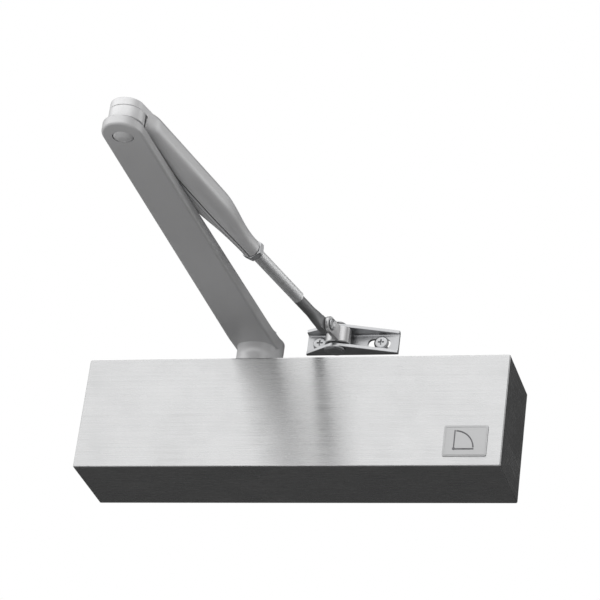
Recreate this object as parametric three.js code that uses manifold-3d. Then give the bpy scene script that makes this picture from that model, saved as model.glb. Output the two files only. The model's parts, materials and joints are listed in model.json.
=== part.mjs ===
// Overhead door closer: a rack-and-pinion body under a full sheet cover, with a main arm and an
// adjustable forearm that ends in a shoe bracket for the door frame.
//
// Millimetres. +X runs along the cover, -Y points away from the door and +Z is up.
// The origin is the middle of the mounting plate's back, which lies on the door.

import * as THREE from "three";
import { mergeVertices } from "three/addons/utils/BufferGeometryUtils.js";
import Module from "manifold-3d";

const wasm = await Module();
wasm.setup();

// ---------------------------------------------------------------- driving dimensions

const GAP = 0.3; // left between pieces that touch
const COVER = { length: 254, depth: 50, height: 70, sheet: 1.2, bend: 1, corner: 1.6 };
const PLATE = { length: 242, height: 60, thickness: 3, corner: 5 };
const LABEL = { x: [93, 118.4], z: [-29, -10], thickness: 0.4, corner: 1 };

const SPINDLE = { x: -30, y: -25, journal: 8, square: 11, top: 55 };
const AXIS_Y = SPINDLE.y; // the cylinder's axis crosses the spindle's at z = 0

const HOUSING = { halfLength: 98, front: -46, halfHeight: 28, corner: 8, bore: 18 };
const LUG = { reach: 114, front: -15, z: [16, 28], screwX: 106, screwZ: 22 };
const BOSS = { radius: 17, height: 31, bore: 11.5, glandBore: 13.5, glandFloor: 25 };

const GEAR = { teeth: 12, module: 1.6, pressure: THREE.MathUtils.degToRad(20), halfFace: 10 };
GEAR.pitch = (GEAR.teeth * GEAR.module) / 2;
GEAR.backlash = 0.2; // taken off each tooth's thickness
GEAR.addendum = 1.6;
GEAR.dedendum = 2;
const RACK = { addendum: 1, dedendum: 2, halfFace: 9.5, firstGap: -7, lastGap: 1 };

const PISTON = { radius: 17.7, x: [-84.5, -4], window: [-69.5, -17.5], backWall: 12.2 };
const CHECK = { orifice: 1.5, seatX: -79, bore: 2.9, ball: 2.4, ballX: -76.2 };
const PLUG = { radius: 17.7, outer: 97.5, inner: 84.5, key: 10, groove: [87.9, 90.5] };

const ELBOW = new THREE.Vector2(-36.5, -271.5);
const ARM = { bottom: 50, tip: 55.6, hub: 58, hubX: -30.8, hubRadius: 13.8, bossBottom: 36 };
const ARM_END = { x: -36.5, halfWidth: 11.2, reach: 13.8 };
const RIVET = { head: 5.4, shank: 3.9, top: 6.6 };
const SPACER = { x: -36.2, radius: 9.6, z: [55.9, 64.4] };

const FOREARM_Z = 63; // height of the forearm's and the rod's axis
const SHOE_PIN = new THREE.Vector2(13.4, -20.2);
const FOREARM_LENGTH = ELBOW.distanceTo(SHOE_PIN);
const FOREARM_ANGLE = Math.atan2(SHOE_PIN.y - ELBOW.y, SHOE_PIN.x - ELBOW.x);

// Half-widths of the shell are [at its wide end, where it starts to narrow, at the neck].
const SHELL = { start: 6.2, end: 144.5, halfHeight: 6.5, narrows: 95, sheet: 2, mouth: 10.4 };
SHELL.right = [12.4, 10.9, 5];
SHELL.left = [8.8, 7, 5.4];
const SEAM = { y: [-3, 0], width: 0.8 }; // the gap along the underside where the sheet's edges meet
const TONGUE = { radius: 9.3, z: [1.7, 6.5] };
const ROD = { radius: 3.7, innerEnd: 100, threadEnd: 204, bladeStart: 229, shank: 3.25 };
const NUT = { acrossFlats: 11, x: [145, 149.2] };
const BLADE = { y: [-2, 2.4], halfHeight: 4.8 };
const KNUCKLE = { reach: 16, halfHeight: 5, barrel: 6.3, bulge: 5.2, lug: [-4.6, -2.3] };

const SHOE = { x: [-6, 50], back: -11.4, bottom: 55.5, height: 14.8, sheet: 2 };
const SHOE_SCREWS = { x: [2, 39.6], z: 62.2 };

// ---------------------------------------------------------------- materials

const finish = (color, roughness, metalness) =>
  new THREE.MeshStandardMaterial({ color, roughness, metalness });
const STAINLESS = finish(0xc6c8ca, 0.32, 1);
const PAINT = finish(0x97989a, 0.5, 0.4);
const ZINC = finish(0xb9bcc0, 0.3, 1);
const STEEL = finish(0x8c8f92, 0.35, 1);
const SPRING_STEEL = finish(0x3c3e42, 0.4, 0.9);
const CAST = finish(0x9a9c9e, 0.6, 0.8);
const BRONZE = finish(0x8a6a3c, 0.4, 1);
const BRASS = finish(0xb08d57, 0.3, 1);
const RUBBER = finish(0x1b1b1b, 0.8, 0);
const LABEL_FOIL = finish(0xb5b6b8, 0.4, 0.6);

// ---------------------------------------------------------------- shape helpers

// How local axes (section x, section y, length) turn onto the part's axes. Along y the length
// runs towards -Y, so that a section keeps (x, z) as its own two directions.
const vector = (x, y, z) => new THREE.Vector3(x, y, z);
const ALONG = {
  x: new THREE.Matrix4().makeBasis(vector(0, 1, 0), vector(0, 0, 1), vector(1, 0, 0)),
  y: new THREE.Matrix4().makeBasis(vector(1, 0, 0), vector(0, 0, 1), vector(0, -1, 0)),
  z: new THREE.Matrix4(),
};

// An outline pushed from one place on an axis to another.
function prism(axis, shape, from, to, options = {}) {
  const settings = { depth: to - from, bevelEnabled: false, curveSegments: 6, ...options };
  const geometry = new THREE.ExtrudeGeometry(shape, settings);
  geometry.translate(0, 0, axis === "y" ? -to : from);
  return geometry.applyMatrix4(ALONG[axis]);
}

// A round bar, or a cone when radius is the pair [at from, at to].
function bar(axis, radius, from, to, [a, b] = [0, 0], sides = 24) {
  const [first, last] = Array.isArray(radius) ? radius : [radius, radius];
  const [low, high] = axis === "y" ? [last, first] : [first, last];
  const geometry = new THREE.CylinderGeometry(high, low, to - from, sides);
  geometry.rotateX(Math.PI / 2);
  geometry.translate(a, b, axis === "y" ? -(from + to) / 2 : (from + to) / 2);
  return geometry.applyMatrix4(ALONG[axis]);
}

// A profile of [radius, place along the axis] turned about an x or z axis.
function turned(axis, profile, [a, b] = [0, 0], sides = 24) {
  const points = profile.map(([r, along]) => new THREE.Vector2(r, along));
  const geometry = new THREE.LatheGeometry(points, sides);
  geometry.rotateX(Math.PI / 2).translate(a, b, 0);
  return geometry.applyMatrix4(ALONG[axis]);
}

const ring = (axis, inner, outer, from, to, centre, sides) => {
  const profile = [[inner, from], [outer, from], [outer, to], [inner, to], [inner, from]];
  return turned(axis, profile, centre, sides);
};

function box([x0, x1], [y0, y1], [z0, z1]) {
  const geometry = new THREE.BoxGeometry(x1 - x0, y1 - y0, z1 - z0);
  return geometry.translate((x0 + x1) / 2, (y0 + y1) / 2, (z0 + z1) / 2);
}

const polygon = (points) => new THREE.Shape(points.map(([x, y]) => new THREE.Vector2(x, y)));

function roundedRectangle([x0, x1], [y0, y1], r) {
  const shape = new THREE.Shape();
  shape.moveTo(x0 + r, y0).lineTo(x1 - r, y0);
  shape.absarc(x1 - r, y0 + r, r, -Math.PI / 2, 0);
  shape.lineTo(x1, y1 - r).absarc(x1 - r, y1 - r, r, 0, Math.PI / 2);
  shape.lineTo(x0 + r, y1).absarc(x0 + r, y1 - r, r, Math.PI / 2, Math.PI);
  shape.lineTo(x0, y0 + r).absarc(x0 + r, y0 + r, r, Math.PI, 1.5 * Math.PI);
  return shape;
}

// A straight slot with round ends, or the outline of a round-ended bar.
function stadium([x0, x1], y, r) {
  const shape = new THREE.Shape();
  shape.absarc(x1, y, r, -Math.PI / 2, Math.PI / 2);
  shape.absarc(x0, y, r, Math.PI / 2, 1.5 * Math.PI);
  return shape;
}

// Rings of points, one per station, joined into a closed skin.
function loft(rings) {
  const sides = rings[0].length;
  const positions = rings.flat().flatMap((p) => [p.x, p.y, p.z]);
  const index = [];
  for (let k = 0; k + 1 < rings.length; k++) {
    for (let i = 0; i < sides; i++) {
      const j = (i + 1) % sides;
      const [a, b, c, d] = [k * sides + i, k * sides + j, (k + 1) * sides + j, (k + 1) * sides + i];
      index.push(a, b, c, a, c, d);
    }
  }
  const last = (rings.length - 1) * sides;
  for (let i = 1; i + 1 < sides; i++) {
    index.push(0, i + 1, i);
    index.push(last, last + i, last + i + 1);
  }
  const geometry = new THREE.BufferGeometry();
  geometry.setAttribute("position", new THREE.Float32BufferAttribute(positions, 3));
  return geometry.setIndex(index);
}

function toSolid(geometry) {
  const bare = new THREE.BufferGeometry();
  bare.setAttribute("position", geometry.getAttribute("position"));
  bare.setIndex(geometry.getIndex());
  const merged = mergeVertices(bare, 1e-4);
  const vertProperties = new Float32Array(merged.getAttribute("position").array);
  const triVerts = new Uint32Array(merged.getIndex().array);
  return new wasm.Manifold(new wasm.Mesh({ numProp: 3, vertProperties, triVerts }));
}

function toGeometry(solid) {
  const mesh = solid.getMesh();
  const indexed = new THREE.BufferGeometry();
  indexed.setAttribute("position", new THREE.BufferAttribute(mesh.vertProperties, 3));
  indexed.setIndex(new THREE.BufferAttribute(mesh.triVerts, 1));
  const geometry = indexed.toNonIndexed();
  geometry.computeVertexNormals();
  return geometry;
}

const join = (first, ...rest) =>
  toGeometry(rest.reduce((solid, g) => solid.add(toSolid(g)), toSolid(first)));
const cut = (first, ...rest) =>
  toGeometry(rest.reduce((solid, g) => solid.subtract(toSolid(g)), toSolid(first)));
const common = (a, b) => toGeometry(toSolid(a).intersect(toSolid(b)));

const mix = (a, b, t) => a + (b - a) * t;
const both = [-1, 1];

// ---------------------------------------------------------------- the assembly

const closer = new THREE.Group();

// The forearm's own frame: x along the arm from the elbow, y to its left, z up from its axis.
const forearmFrame = new THREE.Group();
forearmFrame.position.set(ELBOW.x, ELBOW.y, FOREARM_Z);
forearmFrame.rotation.z = FOREARM_ANGLE;
closer.add(forearmFrame);

function place(name, geometry, material, group = closer) {
  const mesh = new THREE.Mesh(geometry, material);
  mesh.name = name;
  group.add(mesh);
}

// ---------------------------------------------------------------- cover, label and mounting plate

// A five-sided sheet box, open towards the door, with an open-ended slot for the spindle so that
// it can be slid on after the arm.
function cover() {
  const { length, depth, height, sheet, bend, corner } = COVER;
  const halves = [length / 2, height / 2];
  const [x, z] = halves.map((half) => [-half, half]);
  const [innerX, innerZ] = halves.map((half) => [sheet - half, half - sheet]);
  const edge = {
    bevelEnabled: true,
    bevelThickness: bend,
    bevelSize: bend,
    bevelOffset: -bend,
    bevelSegments: 3,
    curveSegments: 3,
  };
  const block = prism("y", roundedRectangle(x, z, corner), bend - depth, 10, edge);
  const behind = box([-length, length], [0, 20], [-height, height]);
  const inside = box(innerX, [sheet - depth, 1], innerZ);
  const radius = 13;
  const slot = new THREE.Shape();
  slot.moveTo(SPINDLE.x + radius, 1).lineTo(SPINDLE.x - radius, 1);
  slot.absarc(SPINDLE.x, SPINDLE.y, radius, Math.PI, 2 * Math.PI);
  return cut(block, behind, inside, prism("z", slot, 0, height));
}

function mountingPlate() {
  const { length, height, thickness, corner } = PLATE;
  const outline = roundedRectangle([-length / 2, length / 2], [-height / 2, height / 2], corner);
  const holes = [];
  for (const sx of both) {
    for (const sz of both) {
      const doorScrew = [sx * 80, sz * 21];
      holes.push(bar("y", 2.8, -thickness - 1, 1, doorScrew, 16));
      holes.push(bar("y", [5.4, 2.8], -thickness - 0.01, -0.6, doorScrew, 16));
      holes.push(bar("y", 3.2, -thickness - 1, 1, [sx * LUG.screwX, sz * LUG.screwZ], 16));
    }
  }
  return cut(prism("y", outline, -thickness, 0), ...holes);
}

// A spring strip at each end of the plate. Its leg presses on the inside of the cover's end.
function coverClip(side) {
  const foot = -PLATE.thickness - GAP;
  const wall = COVER.length / 2 - COVER.sheet - GAP;
  const strip = 0.8;
  const profile = [
    [wall - 9.8, foot],
    [wall, foot],
    [wall, -22],
    [wall - 1.6, -25],
    [wall - 2.2, -24.6],
    [wall - strip, -21.7],
    [wall - strip, foot - strip],
    [wall - 9.8, foot - strip],
  ];
  return prism("z", polygon(profile.map(([x, y]) => [side * x, y])), -14, 14);
}

const labelFront = -COVER.depth - GAP - LABEL.thickness;
place("cover", cover(), STAINLESS);
place(
  "label_plate",
  prism("y", roundedRectangle(LABEL.x, LABEL.z, LABEL.corner), labelFront, -COVER.depth - GAP),
  LABEL_FOIL,
);
place("mounting_plate", mountingPlate(), ZINC);
place("cover_clip_left", coverClip(-1), SPRING_STEEL);
place("cover_clip_right", coverClip(1), SPRING_STEEL);

// ---------------------------------------------------------------- housing and what closes it

const VALVES = { closing_valve: -80, latching_valve: -66, backcheck_valve: 40 };
const VALVE = { z: 23, radius: 3, depth: -31 };

// A cast barrel with four screw lugs, bored along x for the piston and along z for the spindle.
function housing() {
  const { halfLength, front, halfHeight, corner, bore } = HOUSING;
  const back = -PLATE.thickness - GAP;
  const section = roundedRectangle([front, back], [-halfHeight, halfHeight], corner);
  const spindle = [SPINDLE.x, SPINDLE.y];
  const solids = [prism("x", section, -halfLength, halfLength)];
  const cuts = [];
  solids.push(bar("z", BOSS.radius, -BOSS.height, BOSS.height, spindle, 32));
  for (const sx of both) {
    for (const sz of both) {
      const x = sx > 0 ? [halfLength - 1, LUG.reach] : [-LUG.reach, 1 - halfLength];
      const z = sz > 0 ? LUG.z : [-LUG.z[1], -LUG.z[0]];
      solids.push(box(x, [LUG.front, back], z));
      cuts.push(bar("y", 3.3, LUG.front - 1, 0, [sx * LUG.screwX, sz * LUG.screwZ], 16));
    }
    cuts.push(bar("z", BOSS.glandBore, sx * 28.5 - 3.5, sx * 28.5 + 3.5, spindle, 32));
  }
  cuts.push(bar("x", bore, -LUG.reach - 1, LUG.reach + 1, [AXIS_Y, 0], 48));
  cuts.push(bar("z", BOSS.bore, -BOSS.height - 1, BOSS.height + 1, spindle, 32));
  for (const x of Object.values(VALVES)) {
    cuts.push(bar("y", VALVE.radius, front - 1, VALVE.depth, [x, VALVE.z], 16));
  }
  return cut(join(...solids), ...cuts);
}

function bodyScrew(sx, sz) {
  const centre = [sx * LUG.screwX, sz * LUG.screwZ];
  const seat = LUG.front - GAP;
  const head = bar("y", 5, seat - 6, seat, centre);
  const shank = bar("y", 2.9, seat - 1, -0.5, centre, 16);
  return cut(join(head, shank), bar("y", 2.9, seat - 7, seat - 3, centre, 6));
}

// Screwed plug that closes one end of the cylinder, with a groove for its O-ring and a hex key.
function endPlug(side) {
  const { radius, outer, inner, key, groove } = PLUG;
  const profile = [
    [0, inner],
    [radius, inner],
    [radius, groove[0]],
    [radius - 1.8, groove[0]],
    [radius - 1.8, groove[1]],
    [radius, groove[1]],
    [radius, outer],
    [0, outer],
  ];
  const mirrored = profile.map(([r, x]) => [r, -x]).reverse();
  const body = turned("x", side > 0 ? profile : mirrored, [AXIS_Y, 0]);
  const mouth = side > 0 ? [outer - 6, outer + 1] : [-outer - 1, 6 - outer];
  return cut(body, bar("x", key / Math.sqrt(3), ...mouth, [AXIS_Y, 0], 6));
}

function oRing(axis, middle, section, along, centre) {
  const profile = [];
  for (let i = 0; i < 6; i++) {
    const t = (i / 6) * 2 * Math.PI;
    profile.push([middle + section * Math.cos(t), along + section * Math.sin(t)]);
  }
  return turned(axis, [...profile, profile[0]], centre);
}

place("housing", housing(), CAST);
for (const sx of both) {
  const end = sx < 0 ? "left" : "right";
  for (const sz of both) {
    place(`body_screw_${sz < 0 ? "lower" : "upper"}_${end}`, bodyScrew(sx, sz), STEEL);
  }
  place(`end_plug_${end}`, endPlug(sx), STEEL);
  const sealX = (PLUG.groove[0] + PLUG.groove[1]) / 2;
  place(`end_plug_seal_${end}`, oRing("x", 16.85, 0.65, sx * sealX, [AXIS_Y, 0]), RUBBER);
}

// ---------------------------------------------------------------- spindle, bearings and glands

// One involute tooth flank, as half the tooth's angle at a radius.
function toothHalfAngle(radius) {
  const base = GEAR.pitch * Math.cos(GEAR.pressure);
  const involute = (angle) => Math.tan(angle) - angle;
  const thickness = (Math.PI * GEAR.module) / 2 - GEAR.backlash;
  const atRadius = Math.acos(Math.min(1, base / radius));
  return thickness / 2 / GEAR.pitch + involute(GEAR.pressure) - involute(atRadius);
}

function pinionOutline() {
  const base = GEAR.pitch * Math.cos(GEAR.pressure);
  const tip = GEAR.pitch + GEAR.addendum;
  const root = GEAR.pitch - GEAR.dedendum;
  const radii = [root, ...[0, 0.3, 0.65, 1].map((t) => mix(base, tip, t))];
  const points = [];
  for (let tooth = 0; tooth < GEAR.teeth; tooth++) {
    const middle = -Math.PI / 2 + (tooth * 2 * Math.PI) / GEAR.teeth;
    const rising = radii.map((r) => [r, middle - toothHalfAngle(r)]);
    const falling = radii.map((r) => [r, middle + toothHalfAngle(r)]).reverse();
    points.push(...rising, ...falling);
  }
  return polygon(points.map(([r, angle]) => [r * Math.cos(angle), r * Math.sin(angle)]));
}

function pinion() {
  const { x, y, journal, square, top } = SPINDLE;
  const half = square / 2;
  const centre = [x, y];
  const teeth = prism("z", pinionOutline(), -GEAR.halfFace, GEAR.halfFace).translate(x, y, 0);
  const squareEnd = (z) => box([x - half, x + half], [y - half, y + half], z);
  const shaft = bar("z", journal, -26, 33, centre, 32);
  const solid = join(shaft, teeth, squareEnd([-30.8, -25.5]), squareEnd([32.5, top]));
  return cut(solid, bar("z", 2.8, 36, top + 1, centre, 16));
}

function gland(side) {
  const { glandFloor, glandBore } = BOSS;
  const [inner, middle, outer] = [8.4, 10.6, glandBore - GAP];
  const profile = [
    [middle, glandFloor],
    [outer, glandFloor],
    [outer, 31.5],
    [inner, 31.5],
    [inner, 28],
    [middle, 28],
    [middle, glandFloor],
  ];
  const mirrored = profile.map(([r, z]) => [r, -z]).reverse();
  return turned("z", side > 0 ? profile : mirrored, [SPINDLE.x, SPINDLE.y]);
}

place("pinion", pinion(), STEEL);
for (const side of both) {
  const end = side < 0 ? "lower" : "upper";
  const centre = [SPINDLE.x, SPINDLE.y];
  const span = side < 0 ? [-24.7, -18.4] : [18.4, 24.7];
  place(`bearing_${end}`, ring("z", 8.15, 11.2, ...span, centre, 32), BRONZE);
  place(`gland_nut_${end}`, gland(side), STEEL);
  place(`spindle_seal_${end}`, oRing("z", 9.4, 1, side * 26.5, centre), RUBBER);
}

// ---------------------------------------------------------------- piston, check valve and springs

// Rack teeth on the front wall of the piston's window. A gap lies under the spindle at rest.
function rackTooth(x) {
  const root = AXIS_Y - GEAR.pitch - RACK.dedendum;
  const tip = AXIS_Y - GEAR.pitch + RACK.addendum;
  const atPitch = ((Math.PI * GEAR.module) / 2 - GEAR.backlash) / 2;
  const slope = Math.tan(GEAR.pressure);
  const low = atPitch + RACK.dedendum * slope;
  const high = atPitch - RACK.addendum * slope;
  const outline = [
    [x - low, root - 0.6],
    [x + low, root - 0.6],
    [x + low, root],
    [x + high, tip],
    [x - high, tip],
    [x - low, root],
  ];
  return prism("z", polygon(outline), -RACK.halfFace, RACK.halfFace);
}

function piston() {
  const { radius, x, window, backWall } = PISTON;
  const axis = [AXIS_Y, 0];
  const rackRoot = AXIS_Y - GEAR.pitch - RACK.dedendum;
  const body = cut(
    bar("x", radius, ...x, axis, 48),
    box(window, [rackRoot, AXIS_Y + backWall], [-20, 20]),
    bar("x", CHECK.orifice, x[0] - 1, window[0], axis, 16),
    bar("x", CHECK.bore, CHECK.seatX, window[0] + 1, axis),
  );
  const teeth = [];
  for (let gap = RACK.firstGap; gap <= RACK.lastGap; gap++) {
    teeth.push(rackTooth(SPINDLE.x + (gap + 0.5) * Math.PI * GEAR.module));
  }
  return join(body, ...teeth);
}

class Helix extends THREE.Curve {
  constructor(radius, from, to, turns) {
    super();
    Object.assign(this, { radius, from, to, turns });
  }
  getPoint(t, target = new THREE.Vector3()) {
    const angle = 2 * Math.PI * this.turns * t;
    const [y, z] = [this.radius * Math.cos(angle), this.radius * Math.sin(angle)];
    return target.set(mix(this.from, this.to, t), AXIS_Y + y, z);
  }
}

function closingSpring(radius, wire, turns) {
  const from = PISTON.x[1] + GAP + wire;
  const to = PLUG.inner - GAP - wire;
  const section = [0, 1, 2, 3, 4].map((i) => {
    const angle = (i * 2 * Math.PI) / 5;
    return [wire * Math.cos(angle), wire * Math.sin(angle)];
  });
  return new THREE.ExtrudeGeometry(polygon(section), {
    extrudePath: new Helix(radius, from, to, turns),
    steps: turns * 10,
  });
}

place("piston", piston(), STEEL);
place(
  "check_ball",
  new THREE.SphereGeometry(CHECK.ball, 12, 8).translate(CHECK.ballX, AXIS_Y, 0),
  STEEL,
);
place("check_retainer", ring("x", 1, CHECK.bore - 0.3, -72.4, -70, [AXIS_Y, 0]), BRASS);
place("closing_spring_outer", closingSpring(14.2, 2.1, 9), SPRING_STEEL);
place("closing_spring_inner", closingSpring(9.3, 1.3, 12), SPRING_STEEL);

// ---------------------------------------------------------------- speed valves

// A needle screw with a slotted head, set in the front of the housing.
function valveScrew(x) {
  const r = VALVE.radius - 0.25;
  const head = HOUSING.front + 0.6;
  const shank = bar("y", r, head, -36, [x, VALVE.z], 20);
  const needle = bar("y", [r, 0.8], -36.01, VALVE.depth - 0.6, [x, VALVE.z], 20);
  const slot = box([x - r - 1, x + r + 1], [head - 1, head + 1], [VALVE.z - 0.4, VALVE.z + 0.4]);
  return cut(join(shank, needle), slot);
}

for (const [name, x] of Object.entries(VALVES)) place(name, valveScrew(x), BRASS);

// ---------------------------------------------------------------- main arm and elbow

// A flat bar, thicker at the hub, whose boss stands round the spindle's square end.
function mainArm() {
  const { bottom, tip, hub, hubX, hubRadius, bossBottom } = ARM;
  const plan = new THREE.Shape();
  plan.absarc(hubX, SPINDLE.y, hubRadius, -0.35, Math.PI + 0.35);
  plan.lineTo(-44.9, -45);
  plan.absellipse(ARM_END.x, ELBOW.y, ARM_END.halfWidth, ARM_END.reach, Math.PI, 2 * Math.PI);
  plan.lineTo(-19.1, -45);
  const side = [
    [-290, bottom],
    [0, bottom],
    [0, hub],
    [-60, hub],
    [-150, tip],
    [-290, tip],
  ];
  const flat = common(prism("z", plan, bottom, hub), prism("x", polygon(side), -60, 0));
  const boss = bar("z", hubRadius, bossBottom, bottom + 2, [hubX, SPINDLE.y], 32);
  const half = SPINDLE.square / 2 + GAP;
  const square = box(
    [SPINDLE.x - half, SPINDLE.x + half],
    [SPINDLE.y - half, SPINDLE.y + half],
    [bossBottom - 1, hub + 1],
  );
  const elbow = [ELBOW.x, ELBOW.y];
  return cut(
    join(flat, boss),
    square,
    bar("z", RIVET.shank + GAP, bottom - 1, hub, elbow),
    bar("z", RIVET.head + GAP, bottom - 1, bottom + 2.1, elbow),
  );
}

function armScrew() {
  const centre = [SPINDLE.x, SPINDLE.y];
  const seat = ARM.hub + 2;
  const head = bar("z", 7.5, seat, seat + 5.3, centre, 6);
  return join(head, bar("z", 2.4, 37.5, seat + 1, centre, 16));
}

function elbowRivet() {
  const top = FOREARM_Z + TONGUE.z[1] + GAP;
  const profile = [
    [0, 49.4],
    [RIVET.head - 0.5, 49.4],
    [RIVET.head, 49.8],
    [RIVET.head, 51.8],
    [RIVET.shank, 51.8],
    [RIVET.shank, top],
    [RIVET.top, top],
    [RIVET.top - 1, top + 1.1],
    [0, top + 1.6],
  ];
  return turned("z", profile, [ELBOW.x, ELBOW.y]);
}

place("main_arm", mainArm(), PAINT);
place("arm_washer", ring("z", 3.4, 9, 58.3, 59.7, [SPINDLE.x, SPINDLE.y]), ZINC);
place("arm_screw", armScrew(), ZINC);
place("elbow_rivet", elbowRivet(), STEEL);
function elbowSpacer() {
  const disc = bar("z", SPACER.radius, ...SPACER.z, [SPACER.x, ELBOW.y], 32);
  return cut(disc, bar("z", RIVET.shank + GAP, 50, 70, [ELBOW.x, ELBOW.y]));
}

place("elbow_spacer", elbowSpacer(), PAINT);

// ---------------------------------------------------------------- forearm

const smooth = (x, low, high) => THREE.MathUtils.smoothstep(x, low, high);

// Sheet pressed into a bottle: wide and boxy by the elbow, round at the neck. Its right side
// bulges, and its left side stays nearly straight.
function shellRing(s, inset) {
  const { start, right, left, halfHeight, narrows } = SHELL;
  const toNeck = smooth(s, narrows - 3, 142);
  const along = s / narrows;
  const swell = Math.sin((Math.min(1, (s - start) / 9) * Math.PI) / 2);
  const wide = mix(TONGUE.radius, mix(right[0], right[1], along), swell);
  const rightWidth = mix(wide, right[2], toNeck) - inset;
  const toLeftNeck = smooth(s, narrows - 7, 120);
  const leftWidth = mix(mix(left[0], left[1], along), left[2], toLeftNeck) - inset;
  const height = mix(halfHeight, left[2], toNeck) - inset;
  const power = 2 / mix(3.6, 2, toNeck);
  const sides = 24;
  const points = [];
  for (let i = 0; i < sides; i++) {
    const angle = ((i + 0.5) / sides) * 2 * Math.PI;
    const [c, n] = [Math.cos(angle), Math.sin(angle)];
    const y = Math.sign(c) * Math.abs(c) ** power * (c > 0 ? leftWidth : rightWidth);
    const z = Math.sign(n) * Math.abs(n) ** power * height;
    points.push(vector(s, y, z));
  }
  return points;
}

function shellSkin(from, to, steps, inset) {
  const rings = [];
  for (let k = 0; k <= steps; k++) {
    const along = (k / steps) ** 1.5;
    rings.push(shellRing(mix(from, to, along), inset));
  }
  return loft(rings);
}

function tongue() {
  const { radius, z } = TONGUE;
  const shape = new THREE.Shape();
  shape.absarc(0, 0, radius, Math.PI / 2, 1.5 * Math.PI);
  shape.lineTo(15, -radius - 0.2).lineTo(15, SHELL.left[0] - 0.5);
  return prism("z", shape, ...z);
}

// The shell's open end is hollowed to clear the disc that its tongue lies on.
function forearm() {
  const { start, end, halfHeight, sheet, mouth } = SHELL;
  const hollow = shellSkin(start + 8, 120, 8, sheet);
  const thread = bar("x", ROD.radius + 0.25, 90, end + 1);
  const [first, last] = [start + 9, end + 1];
  const seamPlan = polygon([
    [first, SEAM.y[0]],
    [last, SEAM.y[1]],
    [last, SEAM.y[1] + SEAM.width],
    [first, SEAM.y[0] + SEAM.width],
  ]);
  const seam = prism("z", seamPlan, -halfHeight - 1, -2.5);
  const clear = bar("z", mouth, -halfHeight - 1, TONGUE.z[0]);
  const shell = cut(shellSkin(start, end, 22, 0), hollow, thread, seam, clear);
  return cut(join(shell, tongue()), bar("z", RIVET.shank + 0.2, -8, 8));
}

// Threaded along its first half, then forged down to a flat blade that the knuckle's rivet crosses.
function adjustingRod() {
  const { radius, innerEnd, threadEnd, bladeStart, shank } = ROD;
  const rivetX = FOREARM_LENGTH - KNUCKLE.reach;
  const half = BLADE.halfHeight;
  const middle = (BLADE.y[0] + BLADE.y[1]) / 2;
  const halfWidth = (BLADE.y[1] - BLADE.y[0]) / 2;
  const rings = [];
  const steps = 6;
  for (let k = 0; k <= steps; k++) {
    const t = smooth(k / steps, 0.6, 1);
    const offset = mix(0.6, middle, t);
    const power = 2 / mix(2, 6, t);
    const ringPoints = [];
    for (let i = 0; i < 24; i++) {
      const angle = ((i + 0.5) / 24) * 2 * Math.PI;
      const [c, n] = [Math.cos(angle), Math.sin(angle)];
      const y = Math.sign(c) * Math.abs(c) ** power * mix(shank, halfWidth, t);
      const z = Math.sign(n) * Math.abs(n) ** power * mix(shank, half, t);
      const x = mix(threadEnd - 1, bladeStart, k / steps);
      ringPoints.push(vector(x, y + offset, z));
    }
    rings.push(ringPoints);
  }
  const stem = bar("x", radius, innerEnd, threadEnd);
  const flat = prism("y", stadium([bladeStart + 4, rivetX], 0, half), ...BLADE.y);
  const root = box([bladeStart - 0.2, bladeStart + 5], BLADE.y, [-half + 0.3, half - 0.3]);
  return cut(join(stem, loft(rings), root, flat), bar("y", 2.4, -2, 6, [rivetX, 0], 20));
}

const lockNut = () =>
  cut(
    bar("x", NUT.acrossFlats / Math.sqrt(3), ...NUT.x, [0, 0], 6),
    bar("x", ROD.radius + 0.2, NUT.x[0] - 1, NUT.x[1] + 1),
  );

place("forearm", forearm(), PAINT, forearmFrame);
place("lock_nut", lockNut(), ZINC, forearmFrame);
place("adjusting_rod", adjustingRod(), ZINC, forearmFrame);

// ---------------------------------------------------------------- knuckle and shoe bracket

// A barrel round the shoe's pin with a lug on its right side, to which the rod's blade is riveted.
function knuckle() {
  const { reach, halfHeight, barrel, bulge, lug } = KNUCKLE;
  const x = FOREARM_LENGTH;
  const side = -3.9;
  const span = [-halfHeight, halfHeight];
  return cut(
    join(
      bar("z", barrel, ...span, [x, 0]),
      bar("z", bulge, ...span, [x - 0.2, side]),
      box([x - bulge, x + bulge], [side, 0], span),
      prism("y", stadium([x - reach, x], 0, halfHeight), ...lug),
    ),
    bar("z", 3, -10, 10, [x, 0], 24),
    bar("y", 2.4, -8, 8, [x - reach, 0], 20),
  );
}

function knuckleRivet() {
  const x = FOREARM_LENGTH - KNUCKLE.reach;
  const right = KNUCKLE.lug[0] - GAP;
  const left = BLADE.y[1] + GAP;
  return join(
    bar("y", 2.2, right - 0.7, left + 1.8, [x, 0], 20),
    bar("y", [2.4, 3.3], right - 1.3, right, [x, 0]),
    bar("y", [3.3, 2], left, left + 2.2, [x, 0]),
  );
}

// The flange's edge rises straight to a round nose in front of the pin, then tapers away.
function flange(leftEdge, from, to) {
  const [left, right] = SHOE.x;
  const nose = 5;
  const shape = new THREE.Shape();
  shape.moveTo(left, SHOE.back).lineTo(left, leftEdge);
  shape.absarc(SHOE_PIN.x, SHOE_PIN.y, nose, Math.PI * 1.29, Math.PI * 1.59);
  shape.lineTo(right, SHOE.back - 3.1).lineTo(right, SHOE.back);
  return prism("z", shape, from, to);
}

function shoeBracket() {
  const { x, back, bottom, height, sheet } = SHOE;
  const top = bottom + height;
  const pin = [SHOE_PIN.x, SHOE_PIN.y];
  return cut(
    join(
      box(x, [back - sheet, back], [bottom, top]),
      flange(back - 0.01, bottom, bottom + sheet),
      flange(back - 5.6, top - sheet, top),
    ),
    bar("z", 3, bottom - 1, top + 1, pin),
    prism("y", stadium([34.2, 41.8], SHOE_SCREWS.z, 3.2), back - sheet - 1, back + 1),
    bar("y", 2.9, back - sheet - 1, back + 1, [SHOE_SCREWS.x[0], SHOE_SCREWS.z]),
  );
}

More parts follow.
